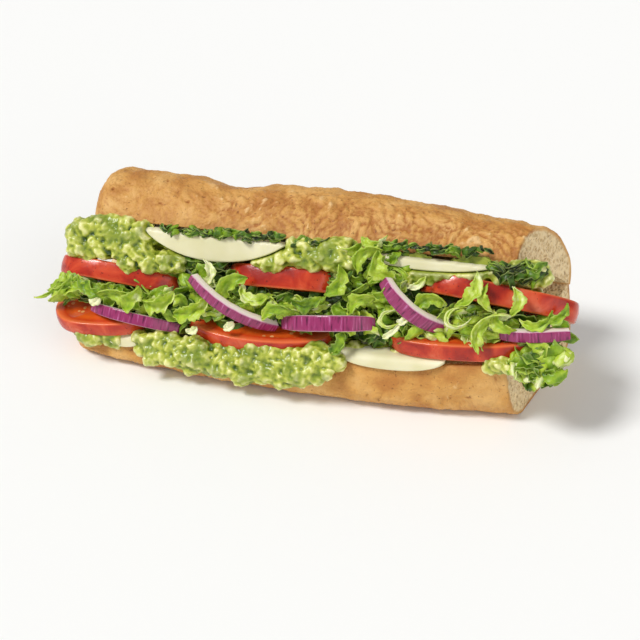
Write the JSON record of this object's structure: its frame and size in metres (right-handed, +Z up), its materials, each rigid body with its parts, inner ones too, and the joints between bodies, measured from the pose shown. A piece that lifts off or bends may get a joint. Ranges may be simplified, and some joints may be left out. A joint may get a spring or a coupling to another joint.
{
  "type": "avocado sandwich",
  "caption": "Open sub roll filled with mashed avocado, sliced tomato, red onion, white cheese and shredded lettuce.",
  "frame": {"origin": "on the ground under the middle of the bounding box", "axes": "+X along the roll towards its cut end, -Y out of the open side, +Z up from the flat base"},
  "size_m": [0.2248, 0.0852, 0.0724],
  "materials": {
    "baked_crust": "dry baked crust, matt",
    "tomato_flesh": "wet skin and flesh, glossy",
    "red_onion": "moist, streaked, glossy",
    "white_cheese": "soft, slightly translucent, satin",
    "mashed_avocado": "moist mash, soft gloss",
    "shredded_lettuce": "crisp leaf, satin"
  },
  "bodies": {
    "root": {"bread_bottom": "baked_crust", "bread_top": "baked_crust", "tomato_1": "tomato_flesh", "tomato_2": "tomato_flesh", "tomato_3": "tomato_flesh", "tomato_4": "tomato_flesh", "tomato_5": "tomato_flesh", "tomato_6": "tomato_flesh", "onion_1": "red_onion", "onion_2": "red_onion", "onion_3": "red_onion", "onion_4": "red_onion", "onion_5": "red_onion", "cheese_1": "white_cheese", "cheese_2": "white_cheese", "cheese_3": "white_cheese", "cheese_4": "white_cheese", "avocado_lower": "mashed_avocado", "avocado_upper": "mashed_avocado", "lettuce_heap": "shredded_lettuce", "lettuce_end": "shredded_lettuce", "lettuce_back": "shredded_lettuce"}
  },
  "joints": []
}
